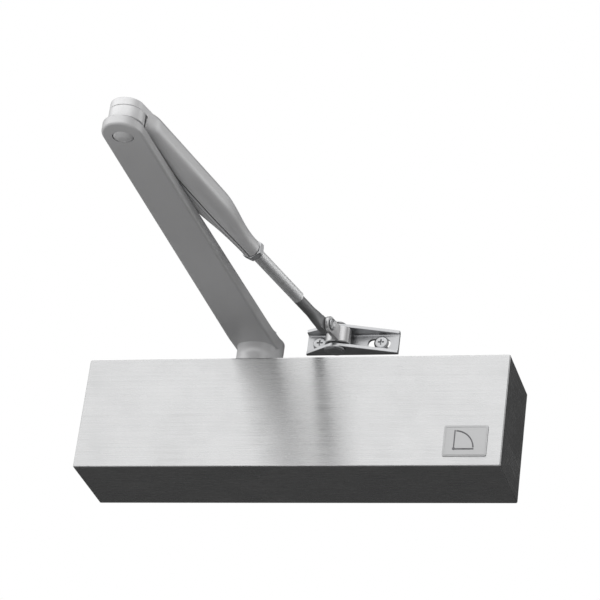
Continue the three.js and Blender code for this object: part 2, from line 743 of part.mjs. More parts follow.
function shoePin() {
  const { bottom, height } = SHOE;
  const [low, high] = [bottom - GAP, bottom + height + GAP];
  const profile = [
    [0, low - 1.6],
    [5.4, low - 1.4],
    [6.2, low - 0.9],
    [6.2, low],
    [2.7, low],
    [2.7, high],
    [5.6, high],
    [4.6, high + 1.2],
    [0, high + 1.5],
  ];
  return turned("z", profile, [SHOE_PIN.x, SHOE_PIN.y]);
}

// A pan-headed screw with a cross recess.
function shoeScrew(x) {
  const z = SHOE_SCREWS.z;
  const seat = SHOE.back - SHOE.sheet - GAP;
  const head = join(
    bar("y", [3.4, 4.4], seat - 2.1, seat - 0.9, [x, z]),
    bar("y", 4.4, seat - 0.91, seat, [x, z]),
    bar("y", 2.3, seat - 0.5, -4.5, [x, z], 16),
    bar("y", [2.3, 0.4], -4.51, -2.5, [x, z], 16),
  );
  const deep = [seat - 3, seat - 1];
  return cut(
    head,
    box([x - 2.2, x + 2.2], deep, [z - 0.45, z + 0.45]),
    box([x - 0.45, x + 0.45], deep, [z - 2.2, z + 2.2]),
  );
}

place("knuckle", knuckle(), PAINT, forearmFrame);
place("knuckle_rivet", knuckleRivet(), ZINC, forearmFrame);
place("shoe_bracket", shoeBracket(), ZINC);
place("shoe_pin", shoePin(), ZINC);
place("shoe_screw_left", shoeScrew(SHOE_SCREWS.x[0]), ZINC);
place("shoe_screw_right", shoeScrew(SHOE_SCREWS.x[1]), ZINC);

export default closer;
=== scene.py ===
import json
import math

import bmesh
import bpy
from mathutils import Matrix, Vector
from mathutils.geometry import tessellate_polygon


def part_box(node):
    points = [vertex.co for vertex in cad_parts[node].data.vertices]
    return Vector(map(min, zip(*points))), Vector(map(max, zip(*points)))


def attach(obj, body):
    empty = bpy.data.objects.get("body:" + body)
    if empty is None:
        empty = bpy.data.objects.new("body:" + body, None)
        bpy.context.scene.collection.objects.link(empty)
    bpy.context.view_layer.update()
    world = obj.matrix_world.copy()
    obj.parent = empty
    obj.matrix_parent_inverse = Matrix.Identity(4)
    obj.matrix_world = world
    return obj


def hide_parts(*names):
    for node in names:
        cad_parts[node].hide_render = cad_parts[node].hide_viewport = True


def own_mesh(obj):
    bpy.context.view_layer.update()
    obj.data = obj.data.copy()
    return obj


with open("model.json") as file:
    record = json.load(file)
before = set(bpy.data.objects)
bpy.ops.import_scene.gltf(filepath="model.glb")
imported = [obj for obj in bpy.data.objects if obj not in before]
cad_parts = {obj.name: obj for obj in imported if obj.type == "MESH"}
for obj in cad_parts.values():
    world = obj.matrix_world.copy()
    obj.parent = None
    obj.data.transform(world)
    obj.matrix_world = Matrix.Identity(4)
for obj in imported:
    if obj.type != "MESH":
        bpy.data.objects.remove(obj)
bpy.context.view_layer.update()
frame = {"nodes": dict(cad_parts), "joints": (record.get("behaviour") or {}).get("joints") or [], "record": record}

# Shapes are written in millimetres in the row frame: +X along the cover, -Y away from the door,
# +Z up, the origin in the middle of the mounting plate's back. MM turns them into metres.
MM = 0.001
RECORD = frame["record"]
JOINTS = {joint["name"]: joint for joint in frame["joints"]}
BODY_OF = {
    node: body for body, nodes in RECORD["behaviour"]["bodies"].items() for node in nodes
}
SLOT_OF = {part["node"]: part["material_slot"] for part in RECORD["subparts"]}


def pivot(joint):
    return Vector(JOINTS[joint]["pos_m"]) / MM


def box(node):
    return [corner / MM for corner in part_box(node)]


SPINDLE = pivot("pinion_turn")
ELBOW = pivot("elbow_turn")
SHOE_PIN = pivot("shoe_turn")
REACH = (SHOE_PIN - ELBOW).length
FOREARM = Matrix.Translation(ELBOW) @ Matrix.Rotation(
    math.atan2(SHOE_PIN.y - ELBOW.y, SHOE_PIN.x - ELBOW.x), 4, "Z"
)  # local x runs along the forearm from the elbow, y to its left

# ---------------------------------------------------------------- shape helpers

# Local z is turned onto these axes; along y it runs towards the room.
ALONG = {
    "x": Matrix(((0, 0, 1), (1, 0, 0), (0, 1, 0))).to_4x4(),
    "y": Matrix(((1, 0, 0), (0, 0, -1), (0, 1, 0))).to_4x4(),
    "z": Matrix.Identity(4),
}


def at(axis, origin=(0, 0, 0), base=Matrix.Identity(4)):
    return base @ Matrix.Translation(origin) @ ALONG[axis]


def solid(name, points, faces, place=Matrix.Identity(4)):
    """A mesh object from points in millimetres."""
    mesh = bpy.data.meshes.new(name)
    mesh.from_pydata([(place @ Vector(p)) * MM for p in points], [], faces)
    work = bmesh.new()
    work.from_mesh(mesh)
    bmesh.ops.remove_doubles(work, verts=work.verts, dist=1e-8)
    bmesh.ops.recalc_face_normals(work, faces=work.faces)
    work.to_mesh(mesh)
    work.free()
    obj = bpy.data.objects.new(name, mesh)
    bpy.context.scene.collection.objects.link(obj)
    return obj


def rounded(points, radii, steps=5, closed=True):
    """The polyline with each corner replaced by an arc of its radius."""
    points = [Vector(p) for p in points]
    if not hasattr(radii, "__len__"):
        radii = [radii] * len(points)
    result = []
    for i, corner in enumerate(points):
        ends = not closed and i in (0, len(points) - 1)
        if ends or radii[i] <= 0:
            result.append(corner)
            continue
        before, after = points[i - 1] - corner, points[(i + 1) % len(points)] - corner
        half = before.angle(after) / 2
        reach = min(radii[i] / math.tan(half), 0.499 * before.length, 0.499 * after.length)
        a, b = before.normalized(), after.normalized()
        centre = corner + (a + b).normalized() * (reach / math.cos(half))
        first, last = corner + a * reach - centre, corner + b * reach - centre
        turn = math.pi - 2 * half
        for k in range(steps + 1):
            u = k / steps
            weights = (math.sin((1 - u) * turn), math.sin(u * turn))
            result.append(centre + (first * weights[0] + last * weights[1]) / math.sin(turn))
    return result


def arc(centre, radius, first, last, steps=24):
    turns = [first + (last - first) * k / steps for k in range(steps + 1)]
    return [
        Vector((centre[0] + radius * math.cos(t), centre[1] + radius * math.sin(t)))
        for t in turns
    ]


def circle(centre, radius, steps=48):
    return arc(centre, radius, 0, 2 * math.pi * (1 - 1 / steps), steps - 1)


def stadium(ends, y, radius, steps=20):
    half = math.pi / 2
    right = arc((ends[1], y), radius, -half, half, steps)
    return right + arc((ends[0], y), radius, half, 3 * half, steps)


def rectangle(x, y, radius=0):
    corners = [(x[0], y[0]), (x[1], y[0]), (x[1], y[1]), (x[0], y[1])]
    return rounded(corners, radius) if radius else [Vector(c) for c in corners]


def inset(loop, distance):
    """The loop with each point moved to its left."""
    result = []
    for i, p in enumerate(loop):
        a, b = (p - loop[i - 1]).normalized(), (loop[(i + 1) % len(loop)] - p).normalized()
        left = Vector((-a.y - b.y, a.x + b.x))
        left = left.normalized() if left.length > 1e-6 else Vector((-b.y, b.x))
        grow = 1 / max(0.4, left.dot(Vector((-b.y, b.x))))
        result.append(p + left * distance * grow)
    return result


def area(loop):
    return sum(p.x * loop[i - 1].y - p.y * loop[i - 1].x for i, p in enumerate(loop)) / -2


def plate(name, outline, span, place, edges=(0.3, 0.3), holes=(), steps=3):
    """An outline pushed along local z, with rounded lower and upper edges and through holes."""
    loops = [outline if area(outline) > 0 else outline[::-1]]
    loops += [hole if area(hole) < 0 else hole[::-1] for hole in holes]
    quarter = [math.pi / 2 * k / steps for k in range(steps + 1)]
    levels = [
        (edges[0] * (1 - math.sin(t)), span[0] + edges[0] * (1 - math.cos(t))) for t in quarter
    ]
    levels += [
        (edges[1] * (1 - math.sin(t)), span[1] - edges[1] * (1 - math.cos(t)))
        for t in reversed(quarter)
    ]
    points, faces = [], []
    count = sum(len(loop) for loop in loops)
    for distance, z in levels:
        for loop in loops:
            points += [(p.x, p.y, z) for p in inset(loop, distance)]
    for level in range(len(levels) - 1):
        start = level * count
        for loop in loops:
            n = len(loop)
            for i in range(n):
                a, b = start + i, start + (i + 1) % n
                faces.append((a, b, b + count, a + count))
            start += n
    for level, flip in ((0, True), (len(levels) - 1, False)):
        start, caps = level * count, []
        for loop in loops:
            caps.append([Vector(points[start + i]) for i in range(len(loop))])
            start += len(loop)
        for triangle in tessellate_polygon(caps):
            face = [level * count + i for i in triangle]
            faces.append(tuple(reversed(face)) if flip else tuple(face))
    return solid(name, points, faces, place)


def lathe(name, profile, place, sides=64, closed=False):
    """A profile of (radius, height) turned about local z."""
    points, rows, faces = [], [], []
    for radius, height in profile:
        if radius < 1e-6:
            rows.append([len(points)] * sides)
            points.append((0, 0, height))
            continue
        rows.append(list(range(len(points), len(points) + sides)))
        for i in range(sides):
            t = 2 * math.pi * i / sides
            points.append((radius * math.cos(t), radius * math.sin(t), height))
    pairs = list(zip(rows, rows[1:] + rows[:1])) if closed else list(zip(rows, rows[1:]))
    for low, high in pairs:
        for i in range(sides):
            j = (i + 1) % sides
            face = list(dict.fromkeys((low[i], low[j], high[j], high[i])))
            if len(face) > 2:
                faces.append(face)
    return solid(name, points, faces, place)


def bar(name, radius, span, place, edge=0.3, sides=48):
    """A round bar with rounded ends, or a cone where radius is (first, last)."""
    first, last = radius if hasattr(radius, "__len__") else (radius, radius)
    profile = [(0, span[0]), (first, span[0]), (last, span[1]), (0, span[1])]
    corners = rounded(profile, [0, edge, edge, 0], 3, closed=False)
    return lathe(name, corners, place, sides)


def sleeve(name, radii, span, place, edge=0.3, sides=64):
    profile = [
        (radii[0], span[0]),
        (radii[1], span[0]),
        (radii[1], span[1]),
        (radii[0], span[1]),
    ]
    return lathe(name, rounded(profile, edge, 3), place, sides, closed=True)


def block(name, low, high, edge=0, place=Matrix.Identity(4)):
    edges = (max(edge, 0.001),) * 2
    outline = rectangle((low[0], high[0]), (low[1], high[1]), edge)
    return plate(name, outline, (low[2], high[2]), place, edges)


def loft(name, rings, place=Matrix.Identity(4)):
    """Rings of points, one per station, joined into a closed skin."""
    sides = len(rings[0])
    faces = []
    for k in range(len(rings) - 1):
        for i in range(sides):
            j = (i + 1) % sides
            row = k * sides
            faces.append((row + i, row + j, row + sides + j, row + sides + i))
    faces.append(tuple(range(sides))[::-1])
    faces.append(tuple((len(rings) - 1) * sides + i for i in range(sides)))
    return solid(name, [p for ring in rings for p in ring], faces, place)


def combine(obj, operation, *others):
    """A boolean of obj with each of the others, which are used up."""
    for other in others:
        modifier = obj.modifiers.new("combine", "BOOLEAN")
        modifier.operation = operation
        modifier.solver = "EXACT"
        modifier.material_mode = "TRANSFER"
        modifier.object = other
        graph = bpy.context.evaluated_depsgraph_get()
        mesh = bpy.data.meshes.new_from_object(obj.evaluated_get(graph))
        obj.modifiers.clear()
        obj.data = mesh
        bpy.data.objects.remove(other)
    return obj


def cut(obj, *others):
    return combine(obj, "DIFFERENCE", *others)


def fuse(obj, *others):
    return combine(obj, "UNION", *others)


def smooth(value, low, high):
    t = min(1, max(0, (value - low) / (high - low)))
    return t * t * (3 - 2 * t)


def mix(a, b, t):
    return a + (b - a) * t


def warp(obj, move):
    """Moves each point, given and returned in millimetres."""
    for vertex in obj.data.vertices:
        vertex.co = Vector(move(vertex.co / MM)) * MM
    return obj


# ---------------------------------------------------------------- finishes


class Finish:
    """A metal, paint or rubber whose grain, colour and roughness vary over the surface."""

    def __init__(self, name, colour, metallic, roughness, **fixed):
        self.material = bpy.data.materials.new(name)
        self.material.use_nodes = True
        self.tree = self.material.node_tree
        self.shader = self.tree.nodes["Principled BSDF"]
        self.colour, self.roughness = colour, roughness
        self.shader.inputs["Metallic"].default_value = metallic
        for key, value in fixed.items():
            self.shader.inputs[key.replace("_", " ")].default_value = value
        self.place = self.node("ShaderNodeTexCoord").outputs["Object"]

    def node(self, kind, inputs=(), **settings):
        made = self.tree.nodes.new(kind)
        for key, value in settings.items():
            setattr(made, key, value)
        for key, value in dict(inputs).items():
            if isinstance(value, bpy.types.NodeSocket):
                self.tree.links.new(value, made.inputs[key])
            else:
                made.inputs[key].default_value = value
        return made

    def noise(self, stretch, detail=2.0, rough=0.5):
        """Noise from 0 to 1, with so many lumps to a metre along x, y and z."""
        scaled = self.node(
            "ShaderNodeVectorMath", {0: self.place, 1: Vector(stretch)}, operation="MULTIPLY"
        )
        inputs = {"Vector": scaled.outputs[0], "Scale": 1, "Detail": detail, "Roughness": rough}
        return self.node("ShaderNodeTexNoise", inputs).outputs[0]

    def between(self, value, low, high, source=(0.3, 0.7)):
        inputs = {0: value, 1: source[0], 2: source[1], 3: low, 4: high}
        return self.node("ShaderNodeMapRange", inputs, clamp=True).outputs[0]

    def maths(self, operation, a, b):
        return self.node("ShaderNodeMath", {0: a, 1: b}, operation=operation).outputs[0]

    def blend(self, a, share_a, b, share_b):
        parts = self.maths("MULTIPLY", a, share_a), self.maths("MULTIPLY", b, share_b)
        return self.maths("ADD", *parts)

    def tint(self, value, spread):
        """Colour that runs from darker to lighter by spread as value goes from 0 to 1."""
        inputs = {
            0: self.between(value, 0, 1),
            6: [c * (1 - spread) for c in self.colour] + [1],
            7: [min(1, c * (1 + spread)) for c in self.colour] + [1],
        }
        return self.node("ShaderNodeMix", inputs, data_type="RGBA").outputs[2]

    def wire(self, colour, roughness, height, strength, distance):
        link = self.tree.links.new
        link(colour, self.shader.inputs["Base Color"])
        link(roughness, self.shader.inputs["Roughness"])
        inputs = {"Height": height, "Strength": strength, "Distance": distance * MM}
        bump = self.node("ShaderNodeBump", inputs)
        link(bump.outputs[0], self.shader.inputs["Normal"])
        return self.material


def brushed(name, colour, roughness, along, spread=0.06, anisotropy=0.0):
    """Sheet brushed along one axis: long fine scratches, broad bands and soft handling marks."""
    finish = Finish(name, colour, 1, roughness, Anisotropic=anisotropy)
    stretch = [26 if axis == along else 3000 for axis in "xyz"]
    bands = [5 if axis == along else 1100 for axis in "xyz"]
    fine = finish.noise(stretch, 3, 0.65)
    broad = finish.noise(bands, 3, 0.6)
    marks = finish.noise((38, 38, 38), 5, 0.6)
    streak = finish.blend(fine, 0.6, broad, 0.4)
    rough = finish.maths(
        "ADD",
        finish.between(fine, roughness - 0.06, roughness + 0.08),
        finish.between(marks, -0.02, 0.05),
    )
    if anisotropy:
        tangent = finish.node("ShaderNodeTangent", direction_type="RADIAL", axis=along.upper())
        finish.tree.links.new(tangent.outputs[0], finish.shader.inputs["Tangent"])
    return finish.wire(finish.tint(streak, spread), rough, streak, 0.5, 0.02)


def painted(name, colour, roughness, flaked=0.35):
    """Satin silver paint: metal flake (flaked is how metallic), orange peel and uneven gloss."""
    finish = Finish(name, colour, flaked, roughness, Coat_Weight=0.12, Coat_Roughness=0.3)
    flake = finish.noise((2600, 2600, 2600), 1, 0.5)
    peel = finish.noise((420, 420, 420), 2, 0.5)
    cloud = finish.noise((26, 26, 26), 4, 0.6)
    tone = finish.blend(flake, 0.55, cloud, 0.45)
    rough = finish.between(cloud, roughness - 0.05, roughness + 0.07)
    return finish.wire(finish.tint(tone, 0.07), rough, peel, 0.18, 0.05)


def plated(name, colour, roughness, spread=0.1):
    """Zinc plating: bright, with faint clouds, drawing marks and small dull spots."""
    finish = Finish(name, colour, 1, roughness)
    cloud = finish.noise((90, 90, 90), 4, 0.5)
    grain = finish.noise((120, 1100, 1100), 3, 0.6)
    spots = finish.noise((700, 700, 700), 2, 0.5)
    rough = finish.maths(
        "ADD",
        finish.between(cloud, roughness - 0.03, roughness + 0.05),
        finish.between(spots, 0, 0.1, (0.62, 0.7)),
    )
    return finish.wire(finish.tint(cloud, spread), rough, grain, 0.1, 0.006)


def turned(name, colour, roughness, metallic=1.0, spread=0.12):
    """Machined metal: tool marks, oil haze and small pits."""
    finish = Finish(name, colour, metallic, roughness)
    tool = finish.noise((1300, 900, 1300), 2, 0.5)
    haze = finish.noise((70, 70, 70), 4, 0.6)
    rough = finish.between(haze, roughness - 0.07, roughness + 0.12)
    return finish.wire(finish.tint(haze, spread), rough, tool, 0.3, 0.02)


def cast(name, colour, roughness):
    """As-cast metal: a pebbled skin with darker hollows."""
    finish = Finish(name, colour, 0.85, roughness)
    pebble = finish.noise((900, 900, 900), 4, 0.6)
    stain = finish.noise((45, 45, 45), 5, 0.6)
    tone = finish.blend(pebble, 0.5, stain, 0.5)
    rough = finish.between(pebble, roughness - 0.1, roughness + 0.12)
    return finish.wire(finish.tint(tone, 0.2), rough, pebble, 0.6, 0.12)


def moulded(name, colour, roughness):
    """Rubber or ink with a fine matt grain and a trace of oil."""
    finish = Finish(name, colour, 0, roughness)
    grain = finish.noise((2200, 2200, 2200), 2, 0.5)
    oil = finish.noise((150, 150, 150), 3, 0.5)
    rough = finish.between(oil, roughness - 0.2, roughness + 0.1)
    return finish.wire(finish.tint(oil, 0.3), rough, grain, 0.4, 0.03)


FINISHES = {
    "stainless": brushed("brushed_stainless", (0.62, 0.622, 0.625), 0.25, "x", 0.06, 1.0),
    "label_foil": brushed("satin_foil", (0.46, 0.462, 0.465), 0.36, "x", 0.03),
    "silver_paint": painted("silver_paint", (0.55, 0.55, 0.555), 0.42),
    "zinc": plated("zinc_plating", (0.50, 0.505, 0.515), 0.3, 0.07),
    "steel": turned("turned_steel", (0.50, 0.505, 0.51), 0.3),
    "spring_steel": turned("oiled_spring_steel", (0.10, 0.105, 0.115), 0.36, 0.9, 0.25),
    "cast": cast("cast_aluminium", (0.52, 0.525, 0.53), 0.5),
    "bronze": turned("sintered_bronze", (0.52, 0.36, 0.19), 0.42),
    "brass": turned("turned_brass", (0.72, 0.55, 0.28), 0.25),
    "rubber": moulded("black_nitrile", (0.022, 0.022, 0.023), 0.6),
}
# The cover's end faces take a darker copy of the brushed stainless, brushed along y: its darker base colour is
# painted shade.
STAINLESS_ENDS_PAINTED_SHADE = brushed("brushed_stainless_ends_painted_shade", (0.42, 0.422, 0.425), 0.2, "y", 0.12)
FORGED = turned("forged_steel", (0.27, 0.272, 0.276), 0.48, 0.8, 0.15)
THREAD = plated("zinc_plated_thread", (0.86, 0.865, 0.87), 0.52, 0.04)
# The forearm and elbow disc take a lighter copy of the silver paint: its lighter base colour is painted light on
# their sides.
FOREARM_PAINT_WITH_PAINTED_LIGHT = painted("silver_paint_forearm_painted_light", (0.68, 0.68, 0.685), 0.42)
KNUCKLE_PAINT = painted("silver_paint_knuckle", (0.60, 0.60, 0.605), 0.36, 0.9)
INK = moulded("grey_ink", (0.12, 0.12, 0.125), 0.5)


def shade(obj, material, angle=32):
    slots = obj.data.materials
    if not slots or obj in frame["nodes"].values():
        slots.clear()
        slots.append(material)
    for i, filled in enumerate(slots):
        if filled is None:
            slots[i] = material
    for polygon in obj.data.polygons:
        polygon.use_smooth = True
    obj.data.set_sharp_from_angle(angle=math.radians(angle))
    modifier = obj.modifiers.new("even_normals", "WEIGHTED_NORMAL")
    modifier.keep_sharp = True
    modifier.weight = 80


def stands_for(obj, node, material=None, angle=32):
    """The piece takes a CAD node's place, with that node's body and finish."""
    shade(obj, material or FINISHES[SLOT_OF[node]], angle)
    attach(obj, BODY_OF[node])
    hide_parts(node)
    return obj


# ---------------------------------------------------------------- cover and label

COVER_SHEET = 1.2
COVER_BEND = 1.0
SLOT_RADIUS = 13


def make_cover():
    """A folded sheet box with round bends, open behind, with a slot for the spindle."""
    low, high = box("cover")
    mesh = bpy.data.meshes.new("cover_sheet")
    work = bmesh.new()
    bmesh.ops.create_cube(work, size=1)
    for vertex in work.verts:
        vertex.co = Vector(mix(a, b, c + 0.5) for a, b, c in zip(low, high, vertex.co)) * MM
    back = [face for face in work.faces if face.normal.y > 0.5]
    bmesh.ops.delete(work, geom=back, context="FACES_ONLY")
    folds = [edge for edge in work.edges if len(edge.link_faces) == 2]
    bmesh.ops.bevel(
        work, geom=folds, offset=COVER_BEND * MM, segments=6, profile=0.5, affect="EDGES"
    )
    work.to_mesh(mesh)
    work.free()
    cover = bpy.data.objects.new("cover_sheet", mesh)
    bpy.context.scene.collection.objects.link(cover)
    sheet = cover.modifiers.new("sheet", "SOLIDIFY")
    sheet.thickness = COVER_SHEET * MM
    sheet.offset = -1
    sheet.use_even_offset = True
    outline = arc(SPINDLE, SLOT_RADIUS, math.pi, 2 * math.pi, 32)
    outline += [Vector((SPINDLE.x + SLOT_RADIUS, 2)), Vector((SPINDLE.x - SLOT_RADIUS, 2))]
    slot = plate("slot", outline, (20, 50), at("z"), (0.001, 0.001))
    cut(cover, slot)
    cover.data.materials.clear()
    cover.data.materials.append(FINISHES["stainless"])
    # Faces turned along x, the cover's ends, get the darker stainless copy: painted shade.
    cover.data.materials.append(STAINLESS_ENDS_PAINTED_SHADE)
    for face in cover.data.polygons:
        face.material_index = 1 if abs(face.normal.x) > 0.75 else 0
    return cover


def make_label():
    """A foil plate with a raised rim and a door-swing sign."""
    low, high = box("label_plate")
    front, back = -low.y, -high.y
    x, z = (low.x, high.x), (low.z, high.z)
    face = front - 0.14
    label = plate("label_foil_plate", rectangle(x, z, 1.0), (back, face), at("y"), (0.02, 0.08))
    label.data.materials.append(FINISHES["label_foil"])
    middle = ((x[0] + x[1]) / 2, (z[0] + z[1]) / 2)
    rim = plate(
        "rim",
        rectangle((x[0] + 0.7, x[1] - 0.7), (z[0] + 0.7, z[1] - 0.7), 0.8),
        (face - 0.1, front),
        at("y"),
        (0.01, 0.05),
        [rectangle((x[0] + 1.2, x[1] - 1.2), (z[0] + 1.2, z[1] - 1.2), 0.6)],
    )
    hinge = (middle[0] - 6.2, middle[1] - 5)
    swing, width, half = 11.5, 0.8, math.pi / 2
    shapes = [
        arc(hinge, swing, 0.06, half - 0.06, 28) + arc(hinge, swing - width, half - 0.06, 0.06, 28),
        rectangle((hinge[0], hinge[0] + swing), (hinge[1] - 0.6, hinge[1] + 0.25), 0.1),
        rectangle((hinge[0] - 0.45, hinge[0] + 0.25), (hinge[1] + 1, hinge[1] + swing), 0.1),
        circle(hinge, 0.9, 24),
    ]
    signs = [plate("sign", shape, (face - 0.1, front), at("y"), (0.01, 0.05)) for shape in shapes]
    for raised in (rim, *signs):
        raised.data.materials.append(FINISHES["label_foil"] if raised is rim else INK)
    return fuse(label, rim, *signs)


# ---------------------------------------------------------------- main arm and elbow

ARM_BOTTOM, ARM_TIP, ARM_HUB = 50, 55.6, 58
HUB = (-30.9, -25.0)
HUB_RADIUS = 13.9
ARM_END = (11.2, 13.8)
RIVET_HEAD = 5.4
SHANK_HOLE = 4.2
SPINDLE_SQUARE = 11.6


def make_main_arm():
    """A flat bar with rounded edges, thicker at its hub, on a boss with a swept neck."""
    outline = arc(HUB, HUB_RADIUS, -0.35, math.pi + 0.35, 40)
    outline += [Vector((-44.9, -45))]
    outline += [
        Vector((ELBOW.x + ARM_END[0] * p.x, ELBOW.y + ARM_END[1] * p.y))
        for p in arc((0, 0), 1, math.pi, 2 * math.pi, 48)
    ]
    outline += [Vector((-19.1, -45))]
    arm = plate("arm_bar", outline, (ARM_BOTTOM, ARM_TIP), at("z"), (1.5, 0.7), steps=6)
    middle = (ARM_BOTTOM + ARM_TIP) / 2

    def thicken(p):
        if p.z > middle:
            p.z += (ARM_HUB - ARM_TIP) * smooth(p.y, -150, -60)
        return p

    warp(arm, thicken)
    # The neck flares out under the bar, but only towards the elbow, where the bar covers it.
    rings = []
    foot = box("main_arm")[0].z
    stations = [(foot, -0.5), (foot + 0.5, 0)]
    stations += [(mix(43.5, ARM_BOTTOM, k / 10), 0) for k in range(11)] + [(ARM_BOTTOM + 3, 0)]
    for z, shrink in stations:
        flare = 3.4 * max(0, (z - 44) / 6) ** 2.4 if z <= ARM_BOTTOM else 3.4
        ring = []
        for i in range(96):
            turn = 2 * math.pi * i / 96
            towards_elbow = smooth(-math.sin(turn), 0.45, 0.95)
            radius = HUB_RADIUS - 0.1 + shrink + flare * towards_elbow
            ring.append((HUB[0] + radius * math.cos(turn), HUB[1] + radius * math.sin(turn), z))
        rings.append(ring)
    fuse(arm, loft("neck", rings))
    half = SPINDLE_SQUARE / 2
    corners = [(SPINDLE.x + side * half, SPINDLE.y + side * half) for side in (-1, 1)]
    elbow = at("z", (ELBOW.x, ELBOW.y, 0))
    sink = (RIVET_HEAD + 0.55, RIVET_HEAD + 0.25)
    return cut(
        arm,
        block("square", (*corners[0], 20), (*corners[1], 70)),
        bar("shank_hole", SHANK_HOLE, (45, 60), elbow, 0.01),
        bar("sink", sink, (45, 52.1), elbow, 0.01, 64),
    )


def make_elbow_rivet():
    low, high = box("elbow_rivet")
    profile = [
        (0, low.z - 0.9),
        (2.4, low.z - 0.7),
        (RIVET_HEAD - 0.9, low.z + 0.3),
        (RIVET_HEAD, low.z + 1.1),
        (RIVET_HEAD, 51.8),
        (3.9, 51.8),
        (3.9, high.z - 1.6),
        (6.6, high.z - 1.6),
        (6.3, high.z - 0.7),
        (3.5, high.z - 0.1),
        (0, high.z),
    ]
    radii = [0, 3, 1.2, 0.4, 0.3, 0.3, 0.3, 0.5, 1, 2, 0]
    place = at("z", (ELBOW.x, ELBOW.y, 0))
    return lathe("elbow_rivet_forged", rounded(profile, radii, 4, False), place)


SPACER_STEP = 1.5


def make_elbow_spacer():
    """A disc relieved underneath, so that it stands clear of the arm at its edge."""
    low, high = box("elbow_spacer")
    middle, radius = (low + high) / 2, (high.x - low.x) / 2
    profile = [
        (0, low.z),
        (radius - 2.2, low.z),
        (radius - 2.2, low.z + SPACER_STEP),
        (radius - 0.4, low.z + SPACER_STEP),
        (radius, low.z + SPACER_STEP + 0.4),
        (radius, high.z - 0.35),
        (radius - 0.35, high.z),
        (0, high.z),
    ]
    disc = lathe("elbow_spacer_disc", profile, at("z", (middle.x, middle.y, 0)), 96)
    return cut(disc, bar("hole", SHANK_HOLE, (50, 70), at("z", (ELBOW.x, ELBOW.y, 0)), 0.01))


# ---------------------------------------------------------------- forearm

# Half-widths of the shell are [at its wide end, where it starts to narrow, at the neck].
SHELL = {
    "start": 6.2,
    "end": 144.5,
    "narrows": 95,
    "half_height": 6.5,
    "sheet": 1.9,
    "mouth": 10.4,
}
SHELL_RIGHT = [12.4, 10.9, 5.0]
SHELL_LEFT = [8.8, 7.0, 5.4]
# The corners' radii are (at the wide end, at the neck), but for the rounder lower right one.
SHELL_CORNER = (3.7, 4.9)
SHELL_BELLY = 6.2
# The joint between the sheet's edges runs between these two points of the forearm's frame.
SEAM_X = (15.2, 145.5)
SEAM_Y = (-3.0, 0.0)
TONGUE_RADIUS = 9.3
TONGUE_Z = (1.7, 6.5)
ROD_RADIUS = 3.7


def shell_ring(s, thinner):
    """The shell's outline at s along the forearm, drawn in by thinner."""
    to_neck = smooth(s, SHELL["narrows"] - 3, 142)
    to_left_neck = smooth(s, SHELL["narrows"] - 7, 120)
    along = s / SHELL["narrows"]
    swell = math.sin(min(1, (s - SHELL["start"]) / 9) * math.pi / 2)
    wide = mix(TONGUE_RADIUS, mix(SHELL_RIGHT[0], SHELL_RIGHT[1], along), swell)
    right = mix(wide, SHELL_RIGHT[2], to_neck) - thinner
    left = mix(mix(SHELL_LEFT[0], SHELL_LEFT[1], along), SHELL_LEFT[2], to_left_neck) - thinner
    half = mix(SHELL["half_height"], SHELL_LEFT[2], to_neck) - thinner
    corner = mix(SHELL_CORNER[0], SHELL_CORNER[1], to_neck) - thinner
    belly = mix(SHELL_BELLY, SHELL_CORNER[1], to_neck) - thinner
    corners = [(-right, -half), (left, -half), (left, half), (-right, half)]
    outline = rounded(corners, [belly, corner, corner, corner], 12)
    return [(s, p.x, p.y) for p in outline]


def shell_skin(name, start, end, steps, thinner):
    rings = [shell_ring(mix(start, end, (k / steps) ** 1.5), thinner) for k in range(steps + 1)]
    return loft(name, rings, FOREARM)


def underside(s, y):
    """The height of the shell's lower surface."""
    ring = shell_ring(min(s, SHELL["end"]), 0)
    for a, b in zip(ring, ring[1:] + ring[:1]):
        if a[2] < 0 and abs(b[1] - a[1]) > 1e-6 and min(a[1], b[1]) <= y <= max(a[1], b[1]):
            return mix(a[2], b[2], (y - a[1]) / (b[1] - a[1]))
    return -SHELL["half_height"]


def seam(name, offset, width, depth):
    """A groove in the underside that follows the sheet's joint, offset to its left."""
    rings = []
    for k in range(41):
        s = mix(*SEAM_X, k / 40)
        y = mix(*SEAM_Y, k / 40) + offset
        z = underside(s, y + width / 2)
        low, high = z - 1.5, z + depth
        rings.append([(s, y, low), (s, y + width, low), (s, y + width, high), (s, y, high)])
    return loft(name, rings, FOREARM)


def make_forearm():
    """Pressed sheet closed into a bottle, with the joint between its edges along the underside."""
    shell = shell_skin("forearm_shell", SHELL["start"], SHELL["end"], 70, 0)
    round_end = arc((0, 0), TONGUE_RADIUS, math.pi / 2, 1.5 * math.pi, 36)
    outline = round_end + [Vector((15, -TONGUE_RADIUS - 0.2)), Vector((24, -TONGUE_RADIUS - 0.2))]
    outline += [Vector((24, 7.6)), Vector((15, 8.2))]
    tongue = plate("tongue", outline, TONGUE_Z, FOREARM, (0.3, 0.9), steps=4)
    half = SHELL["half_height"]
    cut(
        shell,
        shell_skin("hollow", SHELL["start"] + 8, 122, 40, SHELL["sheet"]),
        bar("mouth", SHELL["mouth"], (-half - 1, TONGUE_Z[0]), FOREARM, 0.01, 96),
    )
    fuse(shell, tongue)
    return cut(
        shell,
        bar("rivet_hole", 4.1, (-9, 9), at("z", (0, 0, 0), FOREARM), 0.01),
        bar("thread", ROD_RADIUS + 0.2, (90, SHELL["end"] + 1), at("x", (0, 0, 0), FOREARM), 0.01),
        seam("joint", 0, 0.8, 2.6),
        seam("lip", 2.3, 0.35, 0.4),
    )


THREAD_PITCH, THREAD_DEPTH = 1.0, 0.15
THREAD_FIRST, THREAD_LAST = 100, 204
FORGED_RADIUS = 3.25
BLADE_START, BLADE_Y, BLADE_HALF, BLADE_TOP = 235, (-2.0, 2.4), 4.8, 3.4
RIVET_X = REACH - 16
RIVET_HOLE = 2.4


